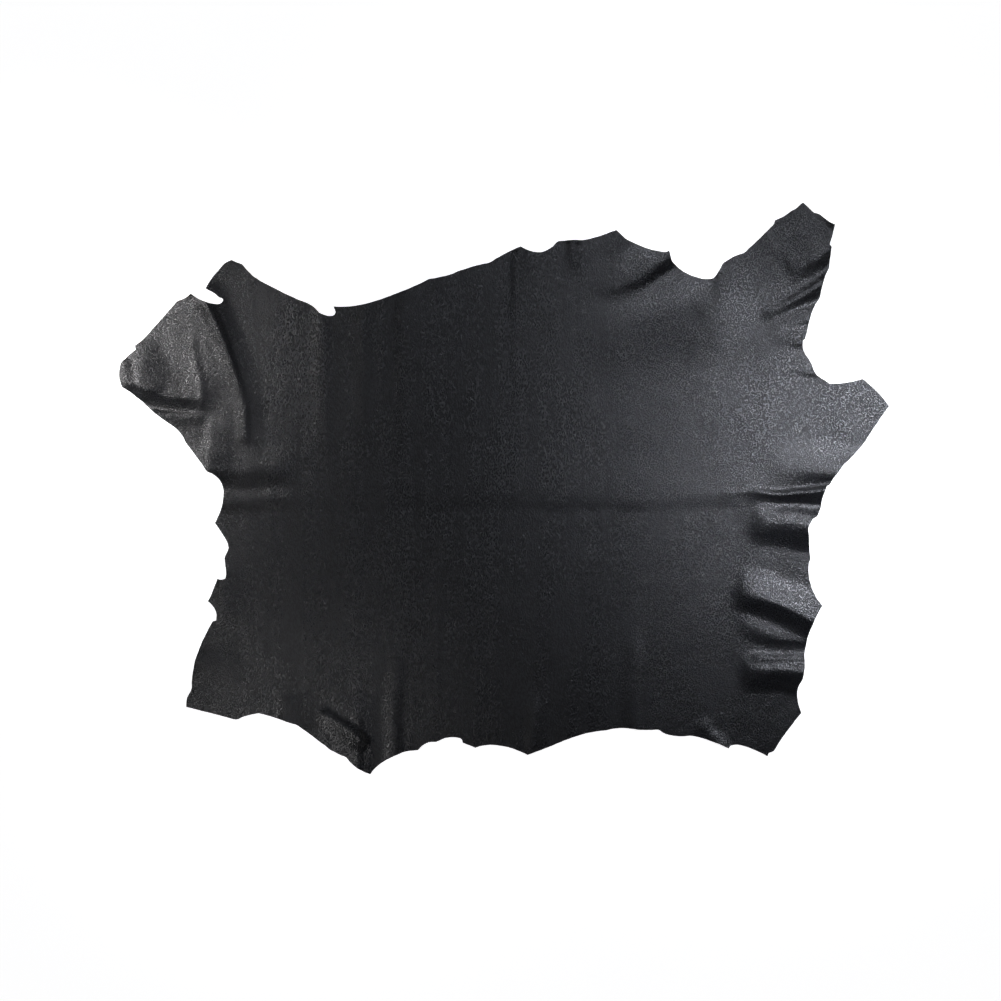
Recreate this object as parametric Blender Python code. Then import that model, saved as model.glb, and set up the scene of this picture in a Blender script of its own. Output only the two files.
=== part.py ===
"""A whole lambskin hide, tanned black, laid out loose on a flat surface with its folds in it.

Metres, +Z up, +X along the longer side of the hide and +Y across it.
The origin is on the surface that the hide lies on, at the middle of the hide's bounding box.
The sheet is one closed solid: it lies flat on the surface between its folds and stands off it in them.
"""

import math
from typing import NamedTuple

import bmesh
import bpy
import numpy as np
from mathutils import Vector
from mathutils.geometry import delaunay_2d_cdt

MM = 0.001

# Driving sizes, in millimetres
LEATHER_THICKNESS = 1.0
EDGE_STEP = 9.0
EDGE_CHORD_ERROR = 0.3
FLAT_STEP = 30.0
FOLD_STEP = 13.0
CLOSEST_POINTS = 6.5
EDGE_MARGIN = 4.0
PATH_STEPS = 10


class Run(NamedTuple):
    """One stretch of the cut edge: it starts at x, y and ends where the next one starts.

    bow is how far the edge stands out from a straight cut, negative where it is hollow,
    and lean is where along the stretch it does so, from 0 to 1.
    """

    x: float
    y: float
    bow: float = 0.0
    lean: float = 0.5


# The cut edge, clockwise as seen from above, in millimetres
OUTLINE = {
    "left foreleg": (
        Run(-498.0, 164.0),
        Run(-478.7, 180.3),
        Run(-480.0, 186.0),
        Run(-469.7, 193.3),
        Run(-424.9, 243.3, -1.3, 0.7),
        Run(-407.3, 253.2, -2.5),
        Run(-376.8, 239.7, -2.9, 0.6),
        Run(-365.2, 245.0, -1.1),
        Run(-370.4, 248.2, -1.0, 0.25),
    ),
    "left shoulder": (
        Run(-388.2, 259.7, 2.0, 0.35),
        Run(-363.5, 292.6, 0.3),
        Run(-354.5, 297.2, -0.5),
        Run(-341.7, 291.8),
        Run(-327.0, 276.6, -2.1, 0.3),
        Run(-252.6, 239.2, 0.8, 0.6),
        Run(-241.0, 229.0, -0.7),
        Run(-226.5, 224.2, -1.9, 0.6),
        Run(-219.5, 229.4, -0.3),
    ),
    "upper flank": (
        Run(-222.3, 236.8, -2.2, 0.35),
        Run(-175.0, 241.5, -1.9, 0.75),
        Run(-100.0, 271.7, -1.5, 0.8),
        Run(-60.8, 282.4, 0.7),
        Run(-20.4, 293.6, 0.9, 0.7),
        Run(20.9, 314.7, -1.9),
        Run(46.9, 307.2, -2.4, 0.45),
        Run(69.6, 321.3, 0.6, 0.35),
        Run(102.0, 323.1, -1.3, 0.25),
        Run(145.3, 335.9),
        Run(157.0, 325.2, -3.6, 0.65),
        Run(211.0, 307.1),
    ),
    "upper bay": (
        Run(213.4, 308.8),
        Run(217.0, 296.5, -4.8, 0.45),
        Run(259.5, 271.8, -0.4),
    ),
    "upper hind leg": (
        Run(271.0, 272.7, -1.0),
        Run(283.0, 291.6, 1.8, 0.6),
        Run(310.5, 305.9, -0.7, 0.4),
        Run(350.2, 344.3),
        Run(351.0, 348.2, -1.1, 0.55),
        Run(372.0, 360.1, -0.8, 0.3),
        Run(387.0, 371.3),
        Run(401.5, 357.8),
        Run(406.0, 356.9, -1.0, 0.7),
        Run(428.7, 342.4),
        Run(421.8, 316.5),
        Run(424.1, 313.3),
        Run(421.6, 286.0, -1.9, 0.3),
        Run(409.4, 247.5, -2.9, 0.4),
        Run(392.6, 203.0),
        Run(390.3, 194.1),
        Run(387.7, 192.5, -1.7),
        Run(391.5, 173.5, 1.3, 0.4),
        Run(402.8, 151.8),
    ),
    "tail": (
        Run(422.6, 136.3, -1.9),
        Run(465.3, 142.3, 2.0),
        Run(499.8, 107.0, -0.6),
        Run(468.0, 60.3, 1.0),
        Run(439.7, 30.6),
        Run(424.9, 9.8),
        Run(421.0, 4.4),
        Run(418.6, 3.6, -1.3, 0.4),
        Run(411.0, -25.0),
        Run(405.8, -35.8),
        Run(400.0, -39.2),
        Run(394.3, -49.3, -0.5, 0.8),
        Run(397.4, -90.5, -2.3, 0.4),
        Run(397.0, -121.0, -2.1, 0.55),
    ),
    "lower hind leg": (
        Run(412.8, -152.3, -4.5, 0.45),
        Run(389.5, -218.0, 1.4),
        Run(386.2, -249.5, -5.8, 0.3),
        Run(385.8, -291.8, -1.3, 0.6),
        Run(350.0, -341.2),
        Run(343.5, -343.8),
        Run(341.6, -348.0, -2.5, 0.7),
        Run(300.3, -333.1),
        Run(294.0, -334.0),
    ),
    "lower flank": (
        Run(291.0, -337.5, -2.0, 0.65),
        Run(241.3, -321.2, 4.1, 0.6),
        Run(199.8, -313.5, 0.9),
        Run(165.0, -312.2, -1.9),
        Run(132.0, -314.4, -3.5, 0.4),
        Run(61.3, -334.6),
        Run(29.9, -345.9, -2.8, 0.6),
        Run(-18.5, -333.1, -0.8),
        Run(-38.3, -337.0),
        Run(-54.6, -330.2, -1.3),
        Run(-58.2, -324.4, -3.0, 0.45),
        Run(-88.5, -329.3, -3.6, 0.45),
        Run(-112.3, -339.9),
        Run(-126.0, -341.3, -5.0, 0.68),
    ),
    "lower foreleg": (
        Run(-174.3, -371.3, 3.0, 0.65),
        Run(-205.3, -349.6),
        Run(-225.4, -340.4),
        Run(-268.0, -308.0, -0.6, 0.8),
        Run(-319.0, -292.2, -1.1, 0.35),
        Run(-349.0, -300.4),
        Run(-413.6, -283.8),
        Run(-413.0, -273.5),
        Run(-407.0, -260.0, 5.9, 0.45),
    ),
    "neck": (
        Run(-379.4, -172.8),
        Run(-374.6, -171.4, -4.2, 0.45),
        Run(-385.8, -146.7, -0.9, 0.3),
        Run(-373.3, -117.3, -1.4),
        Run(-362.6, -116.6),
        Run(-361.5, -111.0),
        Run(-364.0, -90.8),
        Run(-358.8, -77.2, -2.2, 0.2),
        Run(-376.4, -44.9, -2.3, 0.55),
        Run(-365.0, -7.0, -6.4),
    ),
    "left shoulder below": (
        Run(-385.8, 22.4),
        Run(-414.0, 59.4, -1.8),
        Run(-429.4, 79.9, 1.0),
        Run(-466.5, 108.7, -1.0),
        Run(-496.7, 131.8, 3.2, 0.5),
    ),
}


class Fold(NamedTuple):
    """One ridge of the laid sheet, from its start at or near the edge to its inner end.

    bend is how far its middle lies to the left of a straight line, start_rise and end_rise are its
    heights, left_reach and right_reach the widths of its two sides, as seen looking from start to end,
    and fade is the length over which it dies away past its inner end.
    """

    start: tuple
    end: tuple
    bend: float
    start_rise: float
    end_rise: float
    left_reach: float
    right_reach: float
    fade: float


# The folds that the hide lies in, in millimetres
FOLDS = {
    "tail upper side": Fold((440, 16), (345, 26), 0, 7.0, 2.0, 28, 45, 45),
    "tail lower edge": Fold((420, -4), (318, -6), 0, 6.0, 2.0, 15, 9, 30),
    "below the tail": Fold((402, -49), (345, -44), 0, 8.5, 6.0, 34, 27, 26),
    "lower leg upper side": Fold((412, -174), (322, -139), -3, 9.0, 6.5, 26, 34, 22),
    "lower leg middle": Fold((396, -192), (322, -180), 2, 3.0, 3.5, 18, 13, 18),
    "lower leg rib": Fold((396, -221), (326, -218), 0, 2.5, 2.0, 8, 10, 14),
    "lower leg lower side": Fold((396, -240), (324, -234), 0, 8.0, 6.0, 30, 22, 20),
    "upper leg outer fold": Fold((430, 316), (388, 290), 0, 7.0, 3.0, 24, 42, 24),
    "upper leg middle fold": Fold((420, 272), (362, 244), 3, 6.5, 3.0, 15, 14, 28),
    "upper leg inner fold": Fold((404, 224), (345, 202), 0, 5.0, 2.5, 40, 26, 34),
    "upper leg crease": Fold((338, 346), (366, 284), -3, 4.5, 2.0, 11, 26, 30),
    "upper leg tip": Fold((384, 366), (386, 312), 0, 4.5, 3.0, 26, 24, 24),
    "upper bay step": Fold((222, 308), (168, 276), 4, 6.5, 2.5, 17, 28, 30),
    "upper bay slope": Fold((248, 268), (178, 232), 4, 5.0, 3.0, 46, 30, 40),
    "upper bay side": Fold((272, 280), (268, 236), 0, 4.5, 2.0, 9, 26, 24),
    "upper flank peak": Fold((145, 342), (143, 300), 0, 3.5, 1.5, 14, 14, 30),
    "upper flank ripple": Fold((87, 330), (91, 300), 0, 3.0, 1.5, 12, 12, 26),
    "upper flank tip": Fold((22, 322), (16, 262), 0, 2.0, 1.2, 14, 10, 60),
    "upper flank band a": Fold((-183, 250), (-184, 120), 0, 2.0, 1.2, 16, 18, 90),
    "upper flank band b": Fold((-238, 240), (-236, 110), 0, 1.8, 1.2, 18, 18, 90),
    "upper flank band c": Fold((-126, 268), (-128, 90), 0, 1.6, 1.0, 20, 20, 90),
    "foreleg lower side": Fold((-486, 138), (-398, 115), -3, 6.5, 4.0, 58, 22, 26),
    "foreleg end": Fold((-482, 186), (-480, 124), 0, 4.5, 3.5, 12, 20, 14),
    "foreleg middle": Fold((-403, 196), (-394, 118), 3, 3.0, 3.0, 24, 12, 24),
    "foreleg root": Fold((-398, 252), (-352, 156), -4, 7.5, 5.0, 26, 30, 30),
    "foreleg root below": Fold((-350, 150), (-337, 72), -4, 4.0, 1.5, 26, 18, 34),
    "neck upper corner": Fold((-384, 20), (-388, 74), 0, 3.5, 2.0, 12, 12, 16),
    "neck upper side": Fold((-384, 26), (-304, 23), 0, 7.5, 3.0, 36, 26, 44),
    "neck middle": Fold((-376, -14), (-300, -12), 0, 3.0, 1.5, 14, 22, 50),
    "neck lower corner": Fold((-371, -112), (-371, -158), 0, 4.0, 3.0, 20, 12, 34),
    "neck lower side": Fold((-410, -222), (-366, -224), 0, 5.0, 1.5, 22, 32, 34),
    "lower foreleg side": Fold((-182, -330), (-238, -292), 4, 4.5, 3.0, 30, 12, 22),
    "lower foreleg crease": Fold((-191, -376), (-190, -300), 0, 3.0, 1.2, 12, 13, 40),
    "lower foreleg notch": Fold((-288, -306), (-287, -284), 0, 3.5, 2.0, 14, 12, 16),
    "lower flank crease": Fold((179, -322), (172, -214), 2, 3.5, 1.6, 26, 15, 40),
    "lower flank ripple": Fold((286, -340), (258, -312), 0, 3.0, 1.5, 16, 14, 18),
    "lower flank tip": Fold((32, -352), (37, -296), 0, 2.2, 1.2, 10, 22, 34),
    "lower flank band": Fold((-146, -356), (-144, -250), 0, 2.4, 1.2, 18, 16, 70),
}


def outline_points():
    """Returns the cut edge as a closed ring of points, clockwise as seen from above."""
    runs = [run for region in OUTLINE.values() for run in region]
    ring = []
    for run, following in zip(runs, runs[1:] + runs[:1]):
        start = np.array((run.x, run.y))
        chord = np.array((following.x, following.y)) - start
        length = math.hypot(*chord)
        outward = np.array((-chord[1], chord[0])) / length
        control = start + chord * run.lean + outward * run.bow * 2.0
        steps_for_bow = math.sqrt(abs(run.bow) / EDGE_CHORD_ERROR)
        steps = max(1, math.ceil(length / EDGE_STEP), math.ceil(steps_for_bow))
        for step in range(steps):
            t = step / steps
            ring.append(start * (1 - t) ** 2 + control * 2 * t * (1 - t) + (start + chord) * t**2)
    return np.array(ring)


def fold_path(fold):
    """Returns the points of a fold's crest line."""
    start = np.array(fold.start, dtype=float)
    end = np.array(fold.end, dtype=float)
    along = end - start
    left = np.array((-along[1], along[0])) / math.hypot(*along)
    control = (start + end) / 2.0 + left * fold.bend * 2.0
    t = np.linspace(0.0, 1.0, PATH_STEPS + 1)[:, None]
    return start * (1 - t) ** 2 + control * 2 * t * (1 - t) + end * t**2


def bell(ratio):
    """Falls smoothly from 1 at the crest to 0 at the full reach."""
    return 0.5 + 0.5 * np.cos(np.pi * np.clip(ratio, 0.0, 1.0))


def fold_height(fold, points):
    """Returns the height that one fold gives to each point."""
    path = fold_path(fold)
    nearest = np.full(len(points), np.inf)
    side = np.zeros(len(points))
    travelled = np.zeros(len(points))
    past_end = np.zeros(len(points))
    for index in range(PATH_STEPS):
        step = path[index + 1] - path[index]
        length = math.hypot(*step)
        offset = points - path[index]
        along = offset @ step / length
        across = (step[0] * offset[:, 1] - step[1] * offset[:, 0]) / length
        low = -np.inf if index == 0 else 0.0
        high = np.inf if index == PATH_STEPS - 1 else length
        outside = along - np.clip(along, low, high)
        distance = np.hypot(outside, across)
        closer = distance < nearest
        nearest = np.where(closer, distance, nearest)
        side = np.where(closer, np.where(across < 0.0, -distance, distance), side)
        travelled = np.where(closer, (index + np.clip(along / length, 0.0, 1.0)) / PATH_STEPS, travelled)
        beyond = along - length if index == PATH_STEPS - 1 else np.zeros(len(points))
        past_end = np.where(closer, beyond, past_end)
    crest = fold.start_rise + (fold.end_rise - fold.start_rise) * travelled
    reach = np.where(side > 0.0, fold.left_reach, fold.right_reach)
    return crest * bell(np.abs(side) / reach) * bell(past_end / fold.fade)


def sheet_height(points):
    """Returns how far the underside stands off the surface at each point."""
    return sum(fold_height(fold, points) for fold in FOLDS.values())


def sheet_slope(points):
    """Returns how steep the sheet is at each point, as rise over run."""
    reach = 0.5
    east = sheet_height(points + (reach, 0.0)) - sheet_height(points - (reach, 0.0))
    north = sheet_height(points + (0.0, reach)) - sheet_height(points - (0.0, reach))
    return np.hypot(east, north) / (2.0 * reach)


def inside_margin(points, ring):
    """Says which points lie inside the cut edge and further from it than the margin."""
    following = np.roll(ring, -1, axis=0)
    inside = np.zeros(len(points), dtype=bool)
    nearest = np.full(len(points), np.inf)
    for start, end in zip(ring, following):
        step = end - start
        offset = points - start
        crosses = (start[1] > points[:, 1]) != (end[1] > points[:, 1])
        rise = end[1] - start[1] if end[1] != start[1] else 1.0
        inside ^= crosses & (offset[:, 0] < step[0] * offset[:, 1] / rise)
        share = np.clip(offset @ step / (step @ step), 0.0, 1.0)
        nearest = np.minimum(nearest, np.hypot(*(offset - share[:, None] * step).T))
    return inside & (nearest > EDGE_MARGIN)


def fold_points():
    """Returns rows of points along every fold, on its crest, its flanks and its feet."""
    rows = []
    for fold in FOLDS.values():
        path = fold_path(fold)
        length = math.dist(fold.start, fold.end)
        inner = (path[-1] - path[-2]) / math.hypot(*(path[-1] - path[-2]))
        path = np.vstack((path, path[-1] + inner * fold.fade / 2.0, path[-1] + inner * fold.fade))
        count = max(3, round((length + fold.fade) / FOLD_STEP))
        travelled = np.concatenate(((0.0,), np.cumsum(np.hypot(*np.diff(path, axis=0).T))))
        stations = np.linspace(0.0, travelled[-1], count)
        crest = np.stack([np.interp(stations, travelled, path[:, axis]) for axis in (0, 1)], axis=1)
        tangent = np.gradient(crest, axis=0)
        tangent /= np.hypot(*tangent.T)[:, None]
        left = np.stack((-tangent[:, 1], tangent[:, 0]), axis=1)
        for share in (0.0, 0.5, -0.5, 1.0, -1.0):
            reach = fold.left_reach if share > 0.0 else fold.right_reach
            rows.append(crest + left * share * reach)
    return np.vstack(rows)


def flat_points(ring):
    """Returns an even spread of points for the flat parts of the sheet."""
    low = ring.min(axis=0)
    high = ring.max(axis=0)
    row_step = FLAT_STEP * math.sqrt(3.0) / 2.0
    points = []
    for row in range(math.ceil((high[1] - low[1]) / row_step)):
        shift = FLAT_STEP / 2.0 if row % 2 else 0.0
        for column in range(math.ceil((high[0] - low[0]) / FLAT_STEP)):
            points.append((low[0] + shift + column * FLAT_STEP, low[1] + row * row_step))
    return np.array(points)


def spread_out(points):
    """Drops each point that comes too close to an earlier one."""
    kept = np.empty((0, 2))
    for point in points:
        if len(kept) == 0 or np.hypot(*(kept - point).T).min() > CLOSEST_POINTS:
            kept = np.vstack((kept, point))
    return kept


def sheet_triangles():
    """Returns the plan of the sheet: its points, the number of edge points, and its triangles."""
    ring = outline_points()
    inner = spread_out(np.vstack((fold_points(), flat_points(ring))))
    inner = inner[inside_margin(inner, ring)]
    plan = np.vstack((ring, inner))
    vectors = [Vector((x, y)) for x, y in plan]
    border = [(index, (index + 1) % len(ring)) for index in range(len(ring))]
    anticlockwise = list(range(len(ring)))[::-1]
    inside_only = 1
    result = delaunay_2d_cdt(vectors, border, [anticlockwise], inside_only, 1e-6)
    if len(result[0]) != len(plan):
        raise ValueError("the cut edge crosses itself or two points fall together")
    return plan, len(ring), result[2]


def hide_mesh():
    """Builds the closed sheet: the underside, the grain side over it, and the cut edge between."""
    plan, edge_count, triangles = sheet_triangles()
    underside = sheet_height(plan)
    topside = underside + LEATHER_THICKNESS * np.sqrt(1.0 + sheet_slope(plan) ** 2)
    mesh = bmesh.new()
    below = [mesh.verts.new((x * MM, y * MM, z * MM)) for (x, y), z in zip(plan, underside)]
    above = [mesh.verts.new((x * MM, y * MM, z * MM)) for (x, y), z in zip(plan, topside)]
    for triangle in triangles:
        mesh.faces.new([above[index] for index in triangle])
        mesh.faces.new([below[index] for index in reversed(triangle)])
    for index in range(edge_count):
        following = (index + 1) % edge_count
        mesh.faces.new((below[index], above[index], above[following]))
        mesh.faces.new((below[index], above[following], below[following]))
    bmesh.ops.recalc_face_normals(mesh, faces=mesh.faces)
    data = bpy.data.meshes.new("lambskin_hide")
    mesh.to_mesh(data)
    mesh.free()
    return data


def black_leather():
    """Returns the black semi-gloss finish of the tanned skin."""
    material = bpy.data.materials.new("black lambskin")
    material.use_nodes = True
    surface = material.node_tree.nodes["Principled BSDF"]
    surface.inputs["Base Color"].default_value = (0.018, 0.018, 0.020, 1.0)
    surface.inputs["Roughness"].default_value = 0.42
    surface.inputs["Metallic"].default_value = 0.0
    return material


def build():
    """Clears the scene and makes the hide."""
    for existing in list(bpy.data.objects):
        bpy.data.objects.remove(existing, do_unlink=True)
    hide = bpy.data.objects.new("lambskin_hide", hide_mesh())
    hide.data.materials.append(black_leather())
    hide.data.shade_smooth()
    bpy.context.scene.collection.objects.link(hide)


build()
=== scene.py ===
"""The looks of a whole black lambskin hide, laid out loose with its grain side up and seen from above.

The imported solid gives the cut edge. The sheet is rebuilt inside it with the same main folds, in sizes of
its own, and with the finer creases, the wrinkles and the slack that the solid leaves out. Lengths are in
millimetres unless a name says otherwise, and in metres in the materials and the lights, with X to the
photo's right and Y to its top.
"""

import math
from typing import NamedTuple

import bmesh
import bpy
import numpy as np
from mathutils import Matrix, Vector, noise
from mathutils.geometry import delaunay_2d_cdt


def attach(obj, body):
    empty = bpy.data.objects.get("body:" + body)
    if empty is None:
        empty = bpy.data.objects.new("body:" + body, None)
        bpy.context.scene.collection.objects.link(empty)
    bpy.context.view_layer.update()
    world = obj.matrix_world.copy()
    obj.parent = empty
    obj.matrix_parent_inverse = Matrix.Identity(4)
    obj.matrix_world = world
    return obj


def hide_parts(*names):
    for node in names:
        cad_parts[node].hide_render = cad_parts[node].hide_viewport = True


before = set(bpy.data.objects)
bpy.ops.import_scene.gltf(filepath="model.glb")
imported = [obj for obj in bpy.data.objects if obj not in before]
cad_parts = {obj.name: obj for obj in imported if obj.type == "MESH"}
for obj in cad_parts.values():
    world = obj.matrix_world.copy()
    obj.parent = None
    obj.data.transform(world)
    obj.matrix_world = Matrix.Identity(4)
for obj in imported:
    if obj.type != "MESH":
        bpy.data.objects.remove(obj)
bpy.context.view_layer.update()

MM = 0.001
NODE = "lambskin_hide"

# Sizes of the sheet and of its mesh
THICKNESS = 1.0
GRAIN_SIDE_STEP = 2.9
FLESH_SIDE_STEP = 6.0
EDGE_STEP = 3.0
EDGE_MARGIN = 1.7
PATH_STEPS = 10

# Unevenness of the cut edge: how far it strays, and the distance between its fine and its coarse bumps
EDGE_RAGGEDNESS = 0.35
EDGE_FINE_LENGTH = 5.0
EDGE_COARSE_LENGTH = 14.0
SHARPEST_SMOOTH_TURN = math.radians(38.0)

# Slack of the sheet between its folds: its height, the distance from one rise to the next along x,
# and how many times longer that is along y
SLACK_HEIGHT = 0.45
SLACK_LENGTH = 110.0
SLACK_STRETCH = 1.6

# How far the folds wander from their own lines, and the distance from one bend to the next
WANDER = 5.0
WANDER_LENGTH = 42.0

# Bands across the back, which begin at an x and reach their full height further left
BAND_HEIGHT = 0.16
BAND_LENGTH = 17.0
BAND_STRETCH = 14.0
BAND_BEGIN_X = 220.0
BAND_FADE = 200.0

# How much of its own height lifts a noise, so that most of it stands above the surface
NOISE_LIFT = 0.5
WRINKLE_LIFT = 0.4

# A layer of the noise for each of its uses, so that no two of them rise together
SLACK_LAYER = 3.7
BAND_LAYER = 7.9
WANDER_X_LAYER = 20.5
WANDER_Y_LAYER = 31.5
EDGE_FINE_LAYER = 1.1
EDGE_COARSE_LAYER = 5.3

# Colours of the hide
GRAIN_BLACK = (0.0066, 0.0068, 0.0082)
FLESH_GREY = (0.030, 0.031, 0.036)
CUT_GREY = (0.022, 0.021, 0.022)

# Slots of the hide's materials, in the order in which they are added
GRAIN_SLOT = 0
FLESH_SLOT = 1
CUT_SLOT = 2

# Camera
FRAME_WIDTH_M = 1.3013
CAMERA_PLACE_M = (-0.0052, -0.0156)
LENS = 85.0
SENSOR = 36.0
CAMERA_REACH_M = 50.0

# Floor
WHITE = (1.0, 1.0, 1.0, 1.0)
FLOOR_WHITE = (0.9, 0.9, 0.9, 1.0)
FLOOR_GLOW = 0.9
FLOOR_HALF_WIDTH_M = 18.0
FLOOR_DROP_M = -0.0004

# Room: how far up a direction points where the walls end and where the dark ceiling begins
WALL_TOP = 0.10
CEILING_EDGE = 0.40
WALL_BRIGHTNESS = 0.8
CEILING_BRIGHTNESS = 0.01

# Colours of the lights
COOL = (0.87, 0.90, 1.0)
NEUTRAL = (1.0, 0.98, 0.99)


class Fold(NamedTuple):
    """One ridge of the laid sheet, from its start at or near the edge to its inner end.

    bend is how far its middle lies to the left of a straight line, start_rise and end_rise are its
    heights, left_reach and right_reach the widths of its two sides, as seen looking from start to end,
    fade is the length over which it dies away past its ends, and crisp is how sharply its crest and
    its feet are creased, from 0 to 1. A negative rise makes a trough.
    """

    start: tuple
    end: tuple
    bend: float
    start_rise: float
    end_rise: float
    left_reach: float
    right_reach: float
    fade: float
    crisp: float = 0.0


class Wrinkles(NamedTuple):
    """A patch of small wrinkles: its middle, its reach along and across x, the way that the wrinkles run
    in degrees from +X, the distance between them, their height, and how long they are for their width."""

    x: float
    y: float
    reach_x: float
    reach_y: float
    run: float
    spacing: float
    height: float
    length: float


class Softbox(NamedTuple):
    """A soft square light: its place, the place on the hide that it points at, the length of its sides,
    all in metres, its power in watts, its colour, and how wide it spreads in degrees."""

    place: tuple
    aim: tuple
    side: float
    watts: float
    colour: tuple
    spread: float


WRINKLES = (
    Wrinkles(395, 325, 60, 60, 20, 15, 0.75, 2.0),
    Wrinkles(390, 230, 60, 70, 35, 14, 0.55, 2.0),
    Wrinkles(400, 160, 40, 40, 15, 9, 0.45, 2.5),
    Wrinkles(440, 100, 70, 60, 60, 16, 0.40, 2.0),
    Wrinkles(375, -40, 60, 55, 5, 12, 0.40, 2.5),
    Wrinkles(365, -180, 70, 90, -12, 12, 0.60, 3.0),
    Wrinkles(365, -290, 60, 60, 30, 16, 0.55, 1.8),
    Wrinkles(200, 270, 70, 50, 30, 12, 0.40, 1.8),
    Wrinkles(110, 310, 110, 40, 80, 12, 0.35, 2.0),
    Wrinkles(250, -310, 80, 40, 30, 14, 0.45, 2.0),
    Wrinkles(-430, 150, 90, 80, 80, 16, 0.50, 1.8),
    Wrinkles(-370, 220, 60, 60, -40, 18, 0.45, 1.8),
    Wrinkles(-330, 0, 70, 50, 5, 12, 0.35, 3.0),
    Wrinkles(-370, -240, 60, 70, 20, 16, 0.45, 1.8),
    Wrinkles(-270, -270, 90, 60, 25, 14, 0.45, 2.5),
    Wrinkles(-150, -330, 90, 50, 60, 16, 0.40, 2.0),
)

# The main folds, which the solid has too
FOLDS = {
    "tail upper side": Fold((440, 16), (372, 24), 0, 7.0, 2.0, 26, 45, 45, 0.3),
    "tail lower edge": Fold((420, -4), (340, -5.5), 0, 6.0, 2.0, 15, 9, 34, 0.8),
    "below the tail": Fold((402, -49), (345, -44), 0, 8.5, 4.8, 34, 27, 40, 0.5),
    "lower leg upper side": Fold((412, -174), (322, -139), -3, 9.0, 5.0, 26, 34, 32, 0.6),
    "lower leg middle": Fold((396, -192), (322, -180), 2, 1.6, 1.5, 18, 16, 20, 0.5),
    "lower leg rib": Fold((396, -221), (326, -218), 0, 2.5, 2.0, 8, 10, 14, 0.5),
    "lower leg lower side": Fold((396, -240), (324, -234), 0, 8.0, 5.0, 30, 22, 28, 0.6),
    "upper leg outer fold": Fold((432, 320), (380, 284), 2, 6.5, 2.8, 18, 60, 20, 0.6),
    "upper leg tip": Fold((410, 358), (365, 285), 0, 6.0, 0.8, 110, 110, 40, 0.3),
    "upper leg middle fold": Fold((418, 272), (350, 233), 2, 5.5, 2.8, 16, 10, 22, 0.7),
    "upper leg inner fold": Fold((404, 222), (345, 200), 0, 4.0, 1.6, 44, 22, 60, 0.5),
    "upper leg crease": Fold((341, 350), (357, 290), -3, 1.7, 0.9, 10, 30, 30, 0.7),
    "upper bay step": Fold((224, 308), (152, 266), 3, 7.0, 2.4, 18, 40, 45, 0.6),
    "upper bay slope": Fold((250, 240), (162, 209), 3, 7.5, 2.8, 80, 48, 80, 0.6),
    "upper bay side": Fold((270, 282), (268, 232), 0, 1.8, 1.0, 10, 28, 20, 0.6),
    "upper flank peak": Fold((145, 342), (143, 300), 0, 1.5, 1.0, 12, 14, 24, 0.3),
    "upper flank ripple": Fold((87, 330), (91, 300), 0, 3.0, 1.5, 12, 12, 26, 0.3),
    "upper flank tip": Fold((22, 322), (16, 262), 0, 2.0, 1.2, 14, 10, 60, 0.3),
    "upper flank band a": Fold((-183, 250), (-184, 120), 0, 2.0, 1.2, 16, 18, 90),
    "upper flank band b": Fold((-238, 240), (-236, 110), 0, 1.8, 1.2, 18, 18, 90),
    "upper flank band c": Fold((-126, 268), (-128, 90), 0, 1.6, 1.0, 20, 20, 90),
    "foreleg lower side": Fold((-478, 136), (-402, 117), -3, 6.6, 3.2, 60, 19, 40, 0.6),
    "foreleg end": Fold((-488, 176), (-467, 126), 0, 2.6, 2.6, 50, 15, 14, 0.6),
    "foreleg middle": Fold((-402, 188), (-394, 108), 2, 1.3, 1.2, 10, 6, 14, 0.7),
    "foreleg root": Fold((-390, 248), (-338, 70), 13.4, 5.6, 1.6, 28, 80, 30, 0.6),
    "neck upper corner": Fold((-383, 16), (-382, 76), 0, 2.0, 1.6, 9, 30, 16, 0.5),
    "neck upper side": Fold((-384, 26), (-304, 23), 0, 6.0, 3.0, 36, 26, 44, 0.4),
    "neck middle": Fold((-376, -14), (-300, -12), 0, 3.0, 1.5, 14, 22, 50, 0.3),
    "neck lower corner": Fold((-369, -112), (-369, -160), 0, 2.2, 1.8, 40, 9, 24, 0.5),
    "neck lower side": Fold((-410, -222), (-366, -224), 0, 5.0, 1.5, 22, 32, 34, 0.3),
    "lower foreleg side": Fold((-188, -327), (-234, -294), -2.5, 4.8, 2.4, 19, 10, 12, 0.9),
    "lower foreleg crease": Fold((-190, -376), (-190, -296), 0, 3.2, 2.0, 34, 30, 34, 0.6),
    "lower foreleg notch": Fold((-288, -308), (-287, -280), 0, 4.0, 2.2, 14, 50, 18, 0.4),
    "lower flank crease": Fold((179, -322), (172, -214), 2, 3.5, 1.6, 26, 15, 40, 0.5),
    "lower flank ripple": Fold((286, -340), (258, -312), 0, 3.0, 1.5, 16, 14, 18, 0.3),
    "lower flank tip": Fold((32, -352), (37, -296), 0, 2.2, 1.2, 10, 22, 34, 0.3),
    "lower flank band": Fold((-146, -356), (-144, -250), 0, 2.4, 1.2, 18, 16, 70),
}

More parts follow.
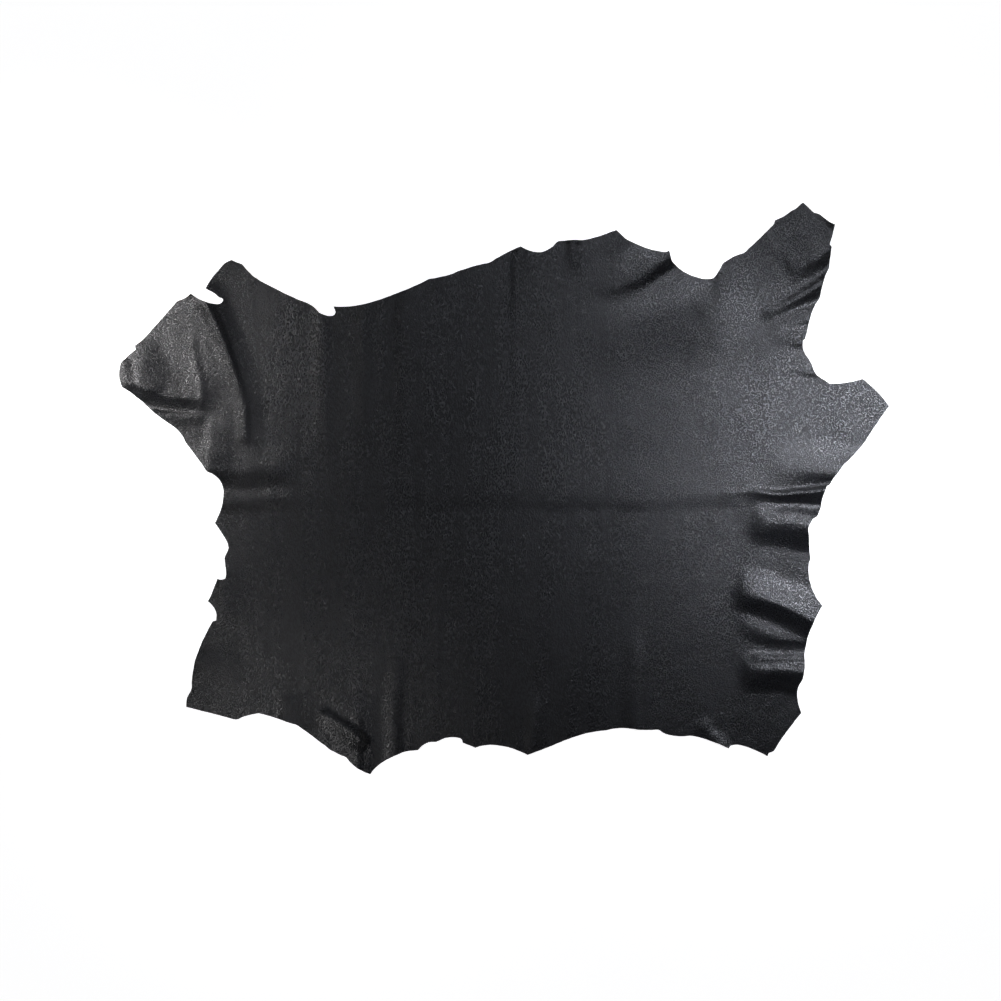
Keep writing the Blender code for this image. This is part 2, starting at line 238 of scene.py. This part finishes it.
# The creases and wrinkles that are too fine for the solid
CREASES = {
    "spine line at the tail": Fold((416, -3.5), (300, -6.5), 0, 1.0, 0.5, 5, 7, 40, 1.0),
    "spine hollow at the tail": Fold((352, -0.5), (336, -1), 0, -0.5, -0.4, 3, 3, 8, 1.0),
    "tail lower lip": Fold((408, -32), (348, -33), 0, 0.9, 0.4, 8, 5, 14, 0.8),
    "lower leg bright lip": Fold((406, -171), (352, -148), 0, 0.4, 0.3, 4, 6, 12, 1.0),
    "lower leg short wrinkle": Fold((384, -196), (346, -193), 0, 0.7, 0.4, 5, 5, 10, 0.8),
    "lower leg foot": Fold((392, -262), (350, -256), 0, 0.8, 0.4, 7, 6, 16, 0.7),
    "upper leg rim a": Fold((398, 213), (374, 208), 0, -1.2, -0.4, 5, 5, 10, 0.6),
    "upper leg rim b": Fold((398, 178), (370, 182), 0, -1.6, -0.5, 9, 8, 14, 0.5),
    "upper leg rim c": Fold((406, 152), (378, 156), 0, 1.5, 0.5, 5, 6, 14, 0.8),
    "upper leg scratch": Fold((296, 113.5), (321, 113.5), 0.5, -0.5, -0.5, 3, 3, 6, 0.8),
    "foreleg root line": Fold((-387, 240), (-338, 70), 13.4, 3.0, 1.2, 8, 14, 16, 1.0),
    "foreleg trough lip": Fold((-470, 130), (-400, 115), -1, 0.7, 0.5, 7, 5, 12, 1.0),
    "foreleg second step": Fold((-458, 99), (-402, 94), 0, 2.8, 2.0, 6, 16, 18, 0.8),
    "foreleg wrinkle a": Fold((-421, 80), (-418, 58), 0, 0.5, 0.4, 3, 3, 6, 0.8),
    "foreleg wrinkle b": Fold((-413, 80), (-410, 57), 0, 0.5, 0.4, 3, 3, 6, 0.8),
    "foreleg wrinkle c": Fold((-405, 78), (-402, 55), 0, 0.5, 0.4, 3, 3, 6, 0.8),
    "lower foreleg line": Fold((-190.5, -372), (-191, -302), 0, 1.1, 1.0, 6, 6, 10, 1.0),
    "flank scratch a": Fold((-338, -287), (-300, -272), -2, 0.4, 0.4, 3, 3, 12, 0.8),
    "flank scratch b": Fold((-262, -268), (-216, -250), -3, 0.4, 0.4, 3, 3, 12, 0.8),
    "flank scratch c": Fold((-300, -262), (-262, -244), -2, 0.3, 0.3, 3, 3, 12, 0.8),
    "storage crease left": Fold((-188, 240), (-189, -340), 0, 0.12, 0.25, 7, 7, 20, 0.6),
    "storage crease middle": Fold((16, 300), (16, -330), 0, 0.25, 0.08, 7, 7, 20, 0.6),
    "storage crease right": Fold((309, 20), (312, -320), 0, 0.12, 0.3, 8, 8, 60, 0.4),
    "spine crest": Fold((-360, -5), (330, -8), 0, 0.2, 0.9, 60, 26, 60, 0.3),
    "spine foot": Fold((-360, -30), (330, -26), 0, -0.2, -0.2, 10, 10, 40, 0.5),
}

LIGHTS = {
    "right_key": Softbox((0.72, 0.32, 1.20), (0.43, -0.02, 0.0), 0.2, 0.60, COOL, 38.0),
    "upper_key": Softbox((0.12, 0.95, 1.20), (0.17, 0.20, 0.0), 0.3, 0.32, COOL, 38.0),
    "left_key": Softbox((-0.90, 0.32, 0.90), (-0.56, 0.13, 0.0), 0.3, 0.52, NEUTRAL, 32.0),
    "left_low_key": Softbox((-0.70, -0.45, 1.05), (-0.28, -0.27, 0.0), 0.2, 0.085, NEUTRAL, 40.0),
    "low_accent": Softbox((-0.45, -0.85, 1.10), (-0.215, -0.315, 0.0), 0.2, 0.022, NEUTRAL, 22.0),
    "overhead": Softbox((0.25, 0.40, 4.1), (0.0, 0.0, 0.0), 1.6, 9.0, COOL, 180.0),
}


def fold_path(fold):
    """Returns the points of a fold's crest line."""
    start = np.array(fold.start, dtype=float)
    end = np.array(fold.end, dtype=float)
    along = end - start
    left = np.array((-along[1], along[0])) / math.hypot(*along)
    control = (start + end) / 2.0 + left * fold.bend * 2.0
    t = np.linspace(0.0, 1.0, PATH_STEPS + 1)[:, None]
    return start * (1 - t) ** 2 + control * 2 * t * (1 - t) + end * t**2


def bell(ratio):
    """Falls smoothly from 1 at the crest to 0 at the full reach."""
    return 0.5 + 0.5 * np.cos(np.pi * np.clip(ratio, 0.0, 1.0))


def tent(ratio):
    """Falls straight from 1 at the crest to 0 at the full reach, with only the crest itself rounded."""
    crest_round = 0.1
    low = math.hypot(1.0, crest_round) - crest_round
    return 1.0 - (np.hypot(np.clip(ratio, 0.0, 1.0), crest_round) - crest_round) / low


def fold_height(fold, points):
    """Returns the height that one fold gives to each point."""
    path = fold_path(fold)
    nearest = np.full(len(points), np.inf)
    side = np.zeros(len(points))
    travelled = np.zeros(len(points))
    past_end = np.zeros(len(points))
    for index in range(PATH_STEPS):
        step = path[index + 1] - path[index]
        length = math.hypot(*step)
        offset = points - path[index]
        along = offset @ step / length
        across = (step[0] * offset[:, 1] - step[1] * offset[:, 0]) / length
        low = -np.inf if index == 0 else 0.0
        high = np.inf if index == PATH_STEPS - 1 else length
        outside = along - np.clip(along, low, high)
        distance = np.hypot(outside, across)
        closer = distance < nearest
        nearest = np.where(closer, distance, nearest)
        side = np.where(closer, np.where(across < 0.0, -distance, distance), side)
        travelled = np.where(closer, (index + np.clip(along / length, 0.0, 1.0)) / PATH_STEPS, travelled)
        beyond = along - length if index == PATH_STEPS - 1 else np.zeros(len(points))
        beyond = np.maximum(beyond, -along) if index == 0 else beyond
        past_end = np.where(closer, beyond, past_end)
    crest = fold.start_rise + (fold.end_rise - fold.start_rise) * travelled
    reach = np.where(side > 0.0, fold.left_reach, fold.right_reach)
    ratio = np.abs(side) / reach
    profile = bell(ratio) * (1.0 - fold.crisp) + tent(ratio) * fold.crisp
    return crest * profile * bell(past_end / fold.fade)


def noise_at(points, length_x, length_y, layer):
    """Returns a smooth noise at each point, its features of the given size along x and y."""
    scaled = points / (length_x, length_y)
    return np.array([noise.noise((x, y, layer)) for x, y in scaled])


def slack(points):
    """Returns the low, uneven rise and fall of a sheet that isn't pulled flat."""
    wide = noise_at(points, SLACK_LENGTH, SLACK_LENGTH * SLACK_STRETCH, SLACK_LAYER) + NOISE_LIFT
    bands = noise_at(points, BAND_LENGTH, BAND_LENGTH * BAND_STRETCH, BAND_LAYER) + NOISE_LIFT
    banded = 1.0 - bell((BAND_BEGIN_X - points[:, 0]) / BAND_FADE)
    return np.maximum(SLACK_HEIGHT * wide, 0.0) + np.maximum(BAND_HEIGHT * bands * banded, 0.0)


def wrinkle_height(patch, points):
    """Returns the height that one patch of wrinkles gives to each point."""
    offset = points - (patch.x, patch.y)
    share = bell(np.hypot(offset[:, 0] / patch.reach_x, offset[:, 1] / patch.reach_y))
    angle = math.radians(patch.run)
    along = offset[:, 0] * math.cos(angle) + offset[:, 1] * math.sin(angle)
    across = offset[:, 1] * math.cos(angle) - offset[:, 0] * math.sin(angle)
    turned = np.stack((along, across), axis=1)
    crumple = noise_at(turned, patch.spacing * patch.length, patch.spacing, patch.x)
    return patch.height * share * (crumple + WRINKLE_LIFT)


def nearby(points, low, high):
    """Says which points lie in a box."""
    return np.all((points > low) & (points < high), axis=1)


def sheet_height(points):
    """Returns how far the flesh side stands off the surface at each point."""
    heights = slack(points)
    shift = np.stack(
        (
            noise_at(points, WANDER_LENGTH, WANDER_LENGTH, WANDER_X_LAYER),
            noise_at(points, WANDER_LENGTH, WANDER_LENGTH, WANDER_Y_LAYER),
        ),
        axis=1,
    )
    moved = points + shift * WANDER
    for fold in (*FOLDS.values(), *CREASES.values()):
        margin = max(fold.left_reach, fold.right_reach) + fold.fade + abs(fold.bend) * 2.0
        ends = np.array((fold.start, fold.end), dtype=float)
        near = nearby(moved, ends.min(axis=0) - margin, ends.max(axis=0) + margin)
        heights[near] += fold_height(fold, moved[near])
    for patch in WRINKLES:
        middle = np.array((patch.x, patch.y))
        reach = np.array((patch.reach_x, patch.reach_y))
        near = nearby(points, middle - reach, middle + reach)
        heights[near] += wrinkle_height(patch, points[near])
    return np.maximum(heights, 0.0)


def cut_edge():
    """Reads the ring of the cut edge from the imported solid, in order, anticlockwise from above."""
    same_place = 0.02
    upright = 0.35
    mesh = bmesh.new()
    mesh.from_mesh(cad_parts[NODE].data)
    bmesh.ops.remove_doubles(mesh, verts=mesh.verts, dist=same_place * MM)
    following = {}
    for edge in mesh.edges:
        if len(edge.link_faces) != 2:
            raise ValueError("the packed hide isn't closed")
        tilts = sorted((face.normal.z, index) for index, face in enumerate(edge.link_faces))
        if tilts[0][0] < -upright and abs(tilts[1][0]) < upright:
            under = edge.link_faces[tilts[0][1]]
            for loop in under.loops:
                if loop.edge == edge:
                    following[loop.link_loop_next.vert.index] = loop.vert.index
    places = {vert.index: (vert.co.x / MM, vert.co.y / MM) for vert in mesh.verts}
    mesh.free()
    first = min(following)
    ring = [first]
    while following[ring[-1]] != first:
        ring.append(following[ring[-1]])
    if len(ring) != len(following):
        raise ValueError("the packed hide has more than one cut edge")
    return np.array([places[index] for index in ring])


def smooth_edge(ring):
    """Rounds the ring between its corners, and gives it the small unevenness of a cut and trimmed skin."""
    ahead = np.roll(ring, -1, axis=0) - ring
    behind = np.roll(ahead, 1, axis=0)
    turn = np.arctan2(
        behind[:, 0] * ahead[:, 1] - behind[:, 1] * ahead[:, 0], (behind * ahead).sum(axis=1)
    )
    ahead_length = np.hypot(*ahead.T)
    behind_length = np.hypot(*behind.T)
    ahead_way = ahead / ahead_length[:, None]
    behind_way = behind / behind_length[:, None]
    blend = ahead_way * behind_length[:, None] + behind_way * ahead_length[:, None]
    blend /= np.hypot(*blend.T)[:, None]
    corner = np.abs(turn) > SHARPEST_SMOOTH_TURN
    leaving = np.where(corner[:, None], ahead_way, blend)
    arriving = np.where(corner[:, None], behind_way, blend)
    points = []
    for index in range(len(ring)):
        following = (index + 1) % len(ring)
        length = ahead_length[index]
        outward = np.array((ahead_way[index][1], -ahead_way[index][0]))
        steps = max(1, round(length / EDGE_STEP))
        for step in range(steps):
            t = step / steps
            place = (
                ring[index] * (2 * t**3 - 3 * t**2 + 1)
                + leaving[index] * length * (t**3 - 2 * t**2 + t)
                + ring[following] * (3 * t**2 - 2 * t**3)
                + arriving[following] * length * (t**3 - t**2)
            )
            rough = noise.noise((*(place / EDGE_FINE_LENGTH), EDGE_FINE_LAYER))
            rough += noise.noise((*(place / EDGE_COARSE_LENGTH), EDGE_COARSE_LAYER))
            points.append(place + outward * rough * EDGE_RAGGEDNESS)
    return np.array(points)


def inside_margin(points, ring):
    """Says which points lie inside the cut edge and further from it than the margin."""
    following = np.roll(ring, -1, axis=0)
    inside = np.zeros(len(points), dtype=bool)
    near = np.zeros(len(points), dtype=bool)
    for start, end in zip(ring, following):
        crosses = (start[1] > points[:, 1]) != (end[1] > points[:, 1])
        rise = end[1] - start[1] if end[1] != start[1] else 1.0
        left_of = points[:, 0] - start[0] < (end[0] - start[0]) * (points[:, 1] - start[1]) / rise
        inside ^= crosses & left_of
        low = np.minimum(start, end) - EDGE_MARGIN
        high = np.maximum(start, end) + EDGE_MARGIN
        close = np.flatnonzero(nearby(points, low, high))
        if len(close):
            step = end - start
            offset = points[close] - start
            share = np.clip(offset @ step / (step @ step), 0.0, 1.0)
            near[close] |= np.hypot(*(offset - share[:, None] * step).T) < EDGE_MARGIN
    return inside & ~near


def spread(ring, spacing):
    """Returns evenly spread points inside the ring, in staggered rows."""
    low = ring.min(axis=0)
    high = ring.max(axis=0)
    row_step = spacing * math.sqrt(3.0) / 2.0
    rows = np.arange(low[1], high[1], row_step)
    columns = np.arange(low[0], high[0], spacing)
    x, y = np.meshgrid(columns, rows)
    x[1::2] += spacing / 2.0
    points = np.stack((x.ravel(), y.ravel()), axis=1)
    return points[inside_margin(points, ring)]


def plan_of(ring, spacing):
    """Returns the plan of one side of the sheet: its points, the ring first, and its triangles."""
    plan = np.vstack((ring, spread(ring, spacing)))
    vectors = [Vector(point) for point in plan]
    count = len(ring)
    border = [(index, (index + 1) % count) for index in range(count)]
    inside_only = 1
    same_place = 1e-6
    result = delaunay_2d_cdt(vectors, border, [list(range(count))], inside_only, same_place)
    if len(result[0]) != len(plan):
        raise ValueError("the cut edge crosses itself or two points fall together")
    return plan, result[2]


def hide_mesh():
    """Builds the sheet: the grain side, the flesh side under it, and the cut edge between them."""
    ring = smooth_edge(cut_edge())
    grain_plan, grain_faces = plan_of(ring, GRAIN_SIDE_STEP)
    flesh_plan, flesh_faces = plan_of(ring, FLESH_SIDE_STEP)
    grain_height = sheet_height(grain_plan) + THICKNESS
    flesh_height = sheet_height(flesh_plan)
    grain_count = len(grain_plan)
    grain_places = np.column_stack((grain_plan, grain_height))
    flesh_places = np.column_stack((flesh_plan, flesh_height))
    places = np.vstack((grain_places, flesh_places))
    faces = [tuple(face) for face in grain_faces]
    faces += [tuple(grain_count + index for index in reversed(face)) for face in flesh_faces]
    count = len(ring)
    rim = []
    for index in range(count):
        following = (index + 1) % count
        rim.append((index, grain_count + index, grain_count + following, following))
    mesh = bpy.data.meshes.new("hide")
    mesh.from_pydata([tuple(place) for place in places * MM], [], faces + rim)
    slots = np.full(len(mesh.polygons), GRAIN_SLOT, dtype=np.int32)
    slots[len(grain_faces) : len(faces)] = FLESH_SLOT
    slots[len(faces) :] = CUT_SLOT
    mesh.polygons.foreach_set("material_index", slots)
    mesh.shade_smooth()
    sharp = mesh.attributes.new("sharp_edge", "BOOLEAN", "EDGE")
    ends = np.empty(len(mesh.edges) * 2, dtype=np.int32)
    mesh.edges.foreach_get("vertices", ends)
    ends = ends.reshape(-1, 2)
    on_grain_rim = np.all(ends < count, axis=1)
    on_flesh_rim = np.all((ends >= grain_count) & (ends < grain_count + count), axis=1)
    sharp.data.foreach_set("value", on_grain_rim | on_flesh_rim)
    mesh.validate()
    return mesh


class Nodes:
    """Adds nodes to a tree and joins them."""

    def __init__(self, tree):
        self.tree = tree

    def add(self, kind, settings=None, **inputs):
        """Adds a node with its own settings, and sets or links its inputs, by name or by place, as i0."""
        node = self.tree.nodes.new(kind)
        for name, value in (settings or {}).items():
            setattr(node, name, value)
        for name, value in inputs.items():
            self.feed(node, name.replace("_", " "), value)
        return node

    def feed(self, node, socket, value):
        """Sets one input of a node to a value, or links it to another node's output."""
        by_place = socket[0] == "i" and socket[1:].isdigit()
        target = node.inputs[int(socket[1:]) if by_place else socket]
        if isinstance(value, bpy.types.NodeSocket):
            self.tree.links.new(value, target)
        else:
            target.default_value = value

    def math(self, operation, first, second=0.0, clamp=False):
        """Returns the result of one operation on two values."""
        node = self.add("ShaderNodeMath", {"operation": operation, "use_clamp": clamp}, i0=first, i1=second)
        return node.outputs[0]

    def between(self, value, low, high, to_low=0.0, to_high=1.0):
        """Returns a value's place between low and high, smoothly, from to_low to to_high."""
        node = self.add(
            "ShaderNodeMapRange",
            {"interpolation_type": "SMOOTHSTEP"},
            Value=value,
            From_Min=low,
            From_Max=high,
            To_Min=to_low,
            To_Max=to_high,
        )
        return node.outputs[0]

    def noise(self, where, scale, detail=2.0, rough=0.5, stretch=None):
        """Returns a noise with so many features to the metre, drawn out where its stretch is below 1."""
        if stretch is not None:
            where = self.add("ShaderNodeMapping", Vector=where, Scale=stretch).outputs[0]
        node = self.add("ShaderNodeTexNoise", Vector=where, Scale=scale, Detail=detail, Roughness=rough)
        return node.outputs["Fac"]

    def cells(self, where, scale, feature):
        """Returns the distance pattern of a cell texture."""
        node = self.add("ShaderNodeTexVoronoi", {"feature": feature}, Vector=where, Scale=scale)
        return node.outputs["Distance"]

    def bump(self, height, depth_m, below=None):
        """Returns a normal that carries a height from 0 to 1 at the given depth in metres."""
        node = self.add("ShaderNodeBump", Height=height, Distance=depth_m)
        if below is not None:
            self.feed(node, "Normal", below)
        return node.outputs[0]

    def shade(self, colour, tone):
        """Returns a colour made lighter or darker by a tone."""
        node = self.add("ShaderNodeVectorMath", {"operation": "SCALE"}, i0=colour, Scale=tone)
        return node.outputs[0]


def new_material(name):
    """Returns a new material, its principled shader and the helper for its nodes."""
    material = bpy.data.materials.new(name)
    material.use_nodes = True
    return material, material.node_tree.nodes["Principled BSDF"], Nodes(material.node_tree)


def grain_side():
    """Semi-gloss black nappa: fine pebbled grain, drawn out across the back on the left half, where bands
    of more and less gloss cross the back too."""
    material, surface, nodes = new_material("black grain side")
    where = nodes.add("ShaderNodeTexCoord").outputs["Object"]
    axes = nodes.add("ShaderNodeSeparateXYZ", Vector=where)
    x = axes.outputs["X"]
    left_end = nodes.between(x, low=-0.42, high=-0.25)
    right_end = nodes.between(x, low=0.05, high=0.24, to_low=1.0, to_high=0.0)
    centre_left = nodes.math("MULTIPLY", left_end, right_end, clamp=True)

    pebbles = nodes.noise(where, scale=540.0, detail=1.5, rough=0.55)
    drawn_pebbles = nodes.noise(where, scale=500.0, detail=1.5, rough=0.55, stretch=(1.2, 0.55, 1.0))
    mixed = nodes.add("ShaderNodeMix", Factor=centre_left, i2=pebbles, i3=drawn_pebbles).outputs[0]
    grain = nodes.between(mixed, low=0.30, high=0.70)
    cell_edges = nodes.cells(where, scale=300.0, feature="DISTANCE_TO_EDGE")
    valleys = nodes.between(cell_edges, low=0.0, high=0.22)
    pores = nodes.noise(where, scale=900.0, detail=2.0)
    blotches = nodes.noise(where, scale=90.0, detail=2.0, rough=0.5)
    swells = nodes.noise(where, scale=38.0, detail=1.0)
    streaks = nodes.noise(where, scale=110.0, detail=3.0, rough=0.6, stretch=(1.0, 0.10, 1.0))
    patches = nodes.noise(where, scale=14.0, detail=3.0)
    bands = nodes.noise(where, scale=42.0, detail=2.0, rough=0.6, stretch=(1.0, 0.05, 1.0))

    # Relief, from the wide swells down to the pores
    grain_depth = nodes.between(x, low=-0.1, high=0.25, to_low=1.0, to_high=0.8)
    normal = nodes.bump(swells, depth_m=0.00030)
    normal = nodes.bump(blotches, depth_m=0.00020, below=normal)
    normal = nodes.bump(nodes.math("MULTIPLY", streaks, centre_left), depth_m=0.00024, below=normal)
    normal = nodes.bump(valleys, depth_m=0.00005, below=normal)
    normal = nodes.bump(nodes.math("MULTIPLY", grain, grain_depth), depth_m=0.00022, below=normal)
    normal = nodes.bump(pores, depth_m=0.00001, below=normal)
    nodes.feed(surface, "Normal", normal)

    # Tone, lighter on the pebbles than between them: a painted highlight on the pebble tops and painted
    # shade in the hollows between them, under a patchy tone
    pebble_highlight_and_shade = nodes.between(grain, low=0.0, high=1.0, to_low=0.15, to_high=1.85)
    patch_tone = nodes.between(patches, low=0.3, high=0.7, to_low=0.85, to_high=1.15)
    tone = nodes.math("MULTIPLY", pebble_highlight_and_shade, patch_tone)
    nodes.feed(surface, "Base Color", nodes.shade(GRAIN_BLACK, tone))

    # Gloss, stronger on the pebbles
    patch_rough = nodes.between(patches, low=0.25, high=0.75, to_low=-0.02, to_high=0.03)
    grain_rough = nodes.between(grain, low=0.0, high=1.0, to_low=0.39, to_high=0.22)
    band_rough = nodes.between(bands, low=0.35, high=0.65, to_low=-0.06, to_high=0.06)
    rough = nodes.math("ADD", patch_rough, grain_rough)
    rough = nodes.math("ADD", rough, nodes.math("MULTIPLY", band_rough, centre_left))
    nodes.feed(surface, "Roughness", rough)
    surface.inputs["IOR"].default_value = 1.5
    return material


def flesh_side():
    """Dyed suede: matt, with a short uneven nap."""
    material, surface, nodes = new_material("dark flesh side")
    where = nodes.add("ShaderNodeTexCoord").outputs["Object"]
    nap = nodes.noise(where, scale=700.0, detail=4.0, rough=0.7)
    brushed = nodes.noise(where, scale=45.0, detail=3.0, stretch=(1.0, 0.4, 1.0))
    nodes.feed(surface, "Normal", nodes.bump(nap, depth_m=0.0004))
    nap_share = 0.5
    both = nodes.math("ADD", nodes.math("MULTIPLY", nap, nap_share), brushed)
    tone = nodes.between(both, low=0.4, high=1.1, to_low=0.6, to_high=1.5)
    nodes.feed(surface, "Base Color", nodes.shade(FLESH_GREY, tone))
    surface.inputs["Roughness"].default_value = 0.95
    surface.inputs["Sheen Weight"].default_value = 0.35
    surface.inputs["Sheen Roughness"].default_value = 0.4
    surface.inputs["Specular IOR Level"].default_value = 0.15
    return material


def cut_edge_finish():
    """The cut through the skin: matt fibres, dyed nearly as dark as the grain."""
    material, surface, nodes = new_material("cut edge")
    where = nodes.add("ShaderNodeTexCoord").outputs["Object"]
    fibres = nodes.noise(where, scale=1200.0, detail=3.0, stretch=(1.0, 1.0, 0.3))
    nodes.feed(surface, "Normal", nodes.bump(fibres, depth_m=0.0002))
    tone = nodes.between(fibres, low=0.3, high=0.7, to_low=0.7, to_high=1.4)
    nodes.feed(surface, "Base Color", nodes.shade(CUT_GREY, tone))
    surface.inputs["Roughness"].default_value = 0.85
    surface.inputs["Specular IOR Level"].default_value = 0.2
    return material


def link(name, data):
    """Puts an object with this data in the scene."""
    thing = bpy.data.objects.new(name, data)
    bpy.context.scene.collection.objects.link(thing)
    return thing


def hide():
    """Makes the hide, and says what it stands for in the frame."""
    skin = link("lambskin_sheet", hide_mesh())
    for material in (grain_side(), flesh_side(), cut_edge_finish()):
        skin.data.materials.append(material)
    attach(skin, "root")
    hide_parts(NODE)


def floor():
    """A plain white surface, bright enough to lose its shadows as the photograph's does."""
    signs = ((-1, -1), (1, -1), (1, 1), (-1, 1))
    corners = [(x * FLOOR_HALF_WIDTH_M, y * FLOOR_HALF_WIDTH_M, FLOOR_DROP_M) for x, y in signs]
    mesh = bpy.data.meshes.new("floor")
    mesh.from_pydata(corners, [], [(0, 1, 2, 3)])
    material, surface, _ = new_material("white floor")
    surface.inputs["Base Color"].default_value = FLOOR_WHITE
    surface.inputs["Roughness"].default_value = 0.9
    surface.inputs["Emission Color"].default_value = WHITE
    surface.inputs["Emission Strength"].default_value = FLOOR_GLOW
    mesh.materials.append(material)
    link("photo_floor", mesh)


def surroundings():
    """A pale room with a dark ceiling, which the flat leather mirrors."""
    world = bpy.data.worlds.new("studio")
    world.use_nodes = True
    nodes = Nodes(world.node_tree)
    upward = nodes.add("ShaderNodeTexCoord").outputs["Generated"]
    height = nodes.add("ShaderNodeSeparateXYZ", Vector=upward).outputs["Z"]
    level = nodes.between(height, WALL_TOP, CEILING_EDGE, WALL_BRIGHTNESS, CEILING_BRIGHTNESS)
    background = world.node_tree.nodes["Background"]
    nodes.feed(background, "Strength", level)
    background.inputs["Color"].default_value = WHITE
    bpy.context.scene.world = world


def camera():
    """Looks straight down, with the photograph's framing."""
    data = bpy.data.cameras.new("camera")
    data.lens = LENS
    data.sensor_width = SENSOR
    data.clip_end = CAMERA_REACH_M
    thing = link("camera", data)
    thing.location = (*CAMERA_PLACE_M, FRAME_WIDTH_M / 2.0 / (SENSOR / 2.0 / LENS))
    bpy.context.scene.camera = thing


def lights():
    """Cool lights from the right, the top and wide overhead, neutral ones at the left, and a faint narrow
    one on the fold at the lower left."""
    for name, softbox in LIGHTS.items():
        light = bpy.data.lights.new(name, "AREA")
        light.shape = "SQUARE"
        light.size = softbox.side
        light.energy = softbox.watts
        light.color = softbox.colour
        light.spread = math.radians(softbox.spread)
        thing = link(name, light)
        thing.location = softbox.place
        aim = Vector(softbox.aim) - Vector(softbox.place)
        thing.rotation_euler = aim.to_track_quat("-Z", "Y").to_euler()


bpy.context.scene.view_settings.view_transform = "Standard"
floor()
hide()
surroundings()
camera()
lights()
